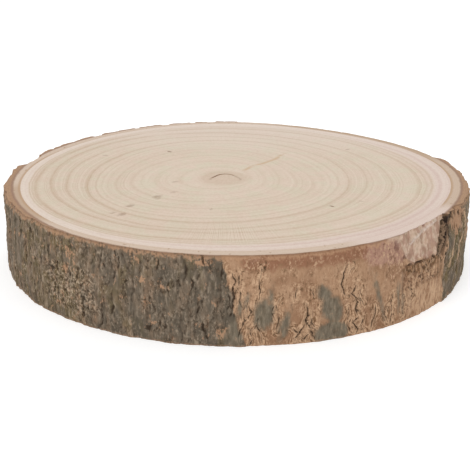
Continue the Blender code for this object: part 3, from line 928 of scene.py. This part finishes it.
def bark_finish():
    """Grey bark, tan where it has flaked off, raw wood where torn, and the sawn ring."""
    finish = Finish("bark")
    place = finish.place
    held = finish.held
    fine = place.grain(1.4, 4, 0.75, 0.7)
    fibres = place.grain(1.8, 3, 0.6, 0.22)
    ragged = (place.grain(3.4, 4, 0.7, 0.45) - 0.5) * 6

    softness = 0.7 + 0.9 * held("island_side").rise(-3, -1)
    grey = (held("grey_side") + ragged).rise(softness * -1, softness)
    wall = grey.cover(flaked_bark_colour(finish), grey_bark_colour(finish))
    wall.coat(held("stripe") * fine.rise(0.4, 0.52) * 0.8, TAN_PALE)
    top_strip = (finish.z + ragged * 1.4).rise(THICKNESS - 3, THICKNESS - 1.4)
    top_strip = top_strip.either((finish.z + ragged * 0.5).rise(1.3, 0.5) * 0.5)
    wall.coat(top_strip * fine.rise(0.38, 0.52) * 0.75, FRESH)
    top_line = (finish.z + ragged * 0.3).rise(THICKNESS - 1.4, THICKNESS - 0.6)
    wall.coat(top_line * 0.35, RIM_BROWN)

    broad = place.grain(4, 3, 0.6, 0.6)
    torn = broad.rise(0.42, 0.56).cover(TORN_PLAIN, TORN_PALE)
    blots = place.grain(7, 3, 0.6)
    torn.coats(blots, (0.52, 0.64, 0.5, TORN_TAN), (0.47, 0.37, 0.5, PLUM_PALE))
    torn.coat(fine.rise(0.46, 0.36) * 0.25, PLUM_PALE)
    torn.coat(held("ridge") * fine.rise(0.34, 0.5) * 0.7, WOOD_SAP)
    in_from_edge = held("torn_side") + ragged
    plum_edge = in_from_edge.near(0, 3) * broad.rise(0.6, 0.45) * fine.rise(0.36, 0.5)
    torn.coat(plum_edge * 0.45, PLUM)
    # Painted shade in olive just inside the torn patch's edge
    torn.coat(in_from_edge.near(3, 2.4) * blots.rise(0.6, 0.45) * 0.35, OLIVE)
    blur = 1.6 + 2.4 * held("plum")
    torn_here = in_from_edge.rise(blur * -1, blur)
    wall.coat(torn_here, torn)
    layers = place.grain(1.3, 3, 0.6, 0.3)
    broken = held("broken")
    wall.coat(broken * 0.9, layers.rise(0.42, 0.64).cover(BROKEN, RIM_BROWN))
    wall.coats(fine, (0.56, 0.64, 0.6, CLOUD), (0.46, 0.36, 0.8, CREVICE), where=broken)
    # Painted shadow, near black, in the crevice at the foot of the torn patch's right edge
    foot_shadow = abs(held("torn_side") + (fine - 0.5) * 1.2 + 0.5).rise(1.7, 1)
    foot_shadow = foot_shadow * broken.rise(0, 0.3) * (finish.z + (fine - 0.5) * 6).rise(THICKNESS, THICKNESS - 3)
    wall.coat(foot_shadow, DEEP_SHADOW)
    # Dark stains, with painted shade in the pits and under the torn patch's lower edge
    stain_and_shade = (held("stain_and_shade_side") * 0.8 + (fine - 0.5) * 7).rise(-0.1, 1)
    in_plum = torn_here.either(held("plum").rise(0.3, 0.6))
    wall.coat(stain_and_shade * (0.55 + 0.4 * fine.rise(0.56, 0.44)), in_plum.cover(CREVICE, PLUM))

    # Dark cracks, with a pale painted highlight along both edges
    off_crack = abs(held("crack_side") + (fine - 0.5) * 2.2)
    breadth = held("crack_breadth") * 0.9 + (fibres - 0.5) * 0.9 + (fine - 0.5) * 0.7
    crack = (breadth - off_crack).rise(-0.14, 0.12)
    lip_highlights = (breadth + 0.7 - off_crack).rise(-0.2, 0.3)
    wall.coat(lip_highlights * 0.4 * (1 - grey), TAN_PALE)
    wall.coat(crack * 0.8, CREVICE)

    sawn = finish.z.rise(THICKNESS - 0.12, THICKNESS - 0.02).either(finish.z.rise(0.1, 0.02))
    colour = sawn.cover(wall, sawn_rim_colour(finish))
    height = 0.16 * fibres + 0.3 * fine + 0.06 * place.grain(0.7, 2)
    return finish.lay(colour, 0.86 + 0.1 * fine, height * (1 - sawn * 0.7), 0.2)


def bark():
    """A grid rolled into a ring: up the wall, in over the top, down, and out under the base."""
    top = WALL_ROWS - 1
    steps = WALL_ROWS + 2 * RING_STEPS
    bpy.ops.mesh.primitive_grid_add(x_subdivisions=COLUMNS, y_subdivisions=steps, size=1, calc_uvs=False)
    bark = bpy.context.object
    bark.name = "bark"
    mesh = bark.data
    fields = bark_fields()
    wood_edge = outline(WOOD_RADIUS, WOOD_BULGES, turns)
    inner_edge = outline(INNER_BARK_RADIUS, BULGES, turns)

    # Each column's section, in that order
    radius = np.zeros((COLUMNS, steps))
    height = np.zeros((COLUMNS, steps))
    radius[:, :WALL_ROWS] = fields["radius"]
    height[:, :WALL_ROWS] = rows
    for step in range(1, RING_STEPS + 1):
        share = step / RING_STEPS
        for row, place, level in ((top, top + step, THICKNESS), (0, steps - step, 0)):
            radius[:, place] = fields["radius"][:, row] * (1 - share) + wood_edge * share
            height[:, place] = level

    station, side = np.divmod(np.arange((COLUMNS + 1) * (steps + 1)), COLUMNS + 1)
    section = station % steps
    column = side % COLUMNS
    move_points(mesh, *on_trunk(radius[column, section], turns[column]), height[column, section])

    lined = np.maximum(within(turns, (165, 214), 14), within((turns + 180) % 360, (148, 200), 12))
    browned = within(turns, (196, 218), 8) + 0.45 * within((turns + 180) % 360, (155, 195), 12)
    held = dict(
        beyond_wood=(radius - wood_edge[:, None])[column, section],
        beyond_inner=(radius - inner_edge[:, None])[column, section],
        browned=browned[column],
        lined=(0.12 + 0.88 * lined)[column],
        tanned=within(turns, (24, 72), 12)[column],
        blushed=within(turns, (300, 328), 8)[column],
    )
    # The sawn faces hold what the wall holds at its edges
    wall_section = np.where(section < WALL_ROWS + RING_STEPS, np.minimum(section, top), 0)
    for name, field in fields.items():
        if name != "radius":
            held[name] = field[column, wall_section]
    for name, numbers in held.items():
        layer = mesh.attributes.new(name, "FLOAT", "POINT")
        layer.data.foreach_set("value", numbers.astype(np.float32))

    # Texture layout: the wall, the top, the hidden inside and the base, each in four strips
    corners = np.zeros(len(mesh.loops), np.int32)
    mesh.loops.foreach_get("vertex_index", corners)
    corners = corners.reshape(-1, 4)
    first_station = station[corners].min(1)
    quarter = side[corners].min(1) // (COLUMNS // 4)
    bands = (
        (0, top, 0.004, 0.155),
        (top, top + RING_STEPS, 0.648, 0.045),
        (top + RING_STEPS, WALL_ROWS + RING_STEPS, 0.988, 0.001),
        (WALL_ROWS + RING_STEPS, steps, 0.848, 0.030),
    )
    places = np.zeros((*corners.shape, 2))
    for first, last, start, breadth in bands:
        here = (first_station >= first) & (first_station < last)
        across = side[corners[here]] / (COLUMNS // 4) - quarter[here, None]
        upward = (station[corners[here]] - first) / (last - first)
        gap = min(0.1 * breadth, 0.005)
        places[here, :, 0] = 0.004 + 0.992 * across
        places[here, :, 1] = start + quarter[here, None] * (breadth + gap) + breadth * upward
    lay_out(mesh, places)

    operate_on(bark)
    bpy.ops.object.mode_set(mode="EDIT")
    bpy.ops.mesh.select_all(action="SELECT")
    bpy.ops.mesh.remove_doubles(threshold=0.001 * MM)
    bpy.ops.mesh.normals_make_consistent(inside=False)
    bpy.ops.object.mode_set(mode="OBJECT")
    bpy.ops.object.shade_smooth_by_angle(angle=math.radians(55))
    mesh.materials.clear()
    mesh.materials.append(bark_finish())
    return bark


bark_ring = bark()
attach(bark_ring, "root")
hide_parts("wood_slice")

# The floor and the light
# A pale sweep lit softly from all round, with one broad lamp above on the left and a weaker one
# behind, as for a catalogue picture.
bpy.ops.mesh.primitive_plane_add(size=8)
floor = bpy.context.object
floor.name = "floor"
FLOOR_LOOK = {
    "Base Color": (0.7, 0.7, 0.7, 1),
    "Roughness": 0.9,
    "Specular IOR Level": 0,
    "Emission Color": (1, 1, 1, 1),
    "Emission Strength": 0.46,
}
floor_finish = Finish("floor")
for name, setting in FLOOR_LOOK.items():
    floor_finish.shader.inputs[name].default_value = setting
floor.data.materials.append(floor_finish.material)

scene = bpy.context.scene
world = bpy.data.worlds.new("studio")
world.use_nodes = True
sky = world.node_tree.nodes["Background"].inputs
sky["Color"].default_value = (1, 1, 1, 1)
sky["Strength"].default_value = 0.8
scene.world = world

# Places in metres, and watts
SOFTBOXES = ((Vector((-0.5, -0.9, 1.2)), 6), (Vector((0.3, 1, 1.2)), 4))
SOFTBOX_SIZE = 0.9
for place, power in SOFTBOXES:
    lamp = bpy.data.lights.new("softbox", "AREA")
    lamp.shape = "SQUARE"
    lamp.size = SOFTBOX_SIZE
    lamp.energy = power
    softbox = bpy.data.objects.new("softbox", lamp)
    scene.collection.objects.link(softbox)
    look = (-place).to_track_quat("-Z", "Y")
    softbox.matrix_world = Matrix.Translation(place) @ look.to_matrix().to_4x4()

# The camera
# It stands in front and a little above, as the photographer's did, turned a hair to one side.
CAMERA_PLACE = (-1.49, -602.2, 221.18)
CAMERA_DIP = 19.469
CAMERA_ROLL = 0.462
CAMERA_LENS = 74.96
eye = bpy.data.cameras.new("camera")
eye.sensor_width = 36
eye.lens = CAMERA_LENS
camera = bpy.data.objects.new("camera", eye)
scene.collection.objects.link(camera)
camera.matrix_world = (
    Matrix.Translation(Vector(CAMERA_PLACE) * MM)
    @ Matrix.Rotation(math.radians(90 - CAMERA_DIP), 4, "X")
    @ Matrix.Rotation(math.radians(CAMERA_ROLL), 4, "Z")
)
scene.camera = camera
scene.view_settings.view_transform = "Standard"
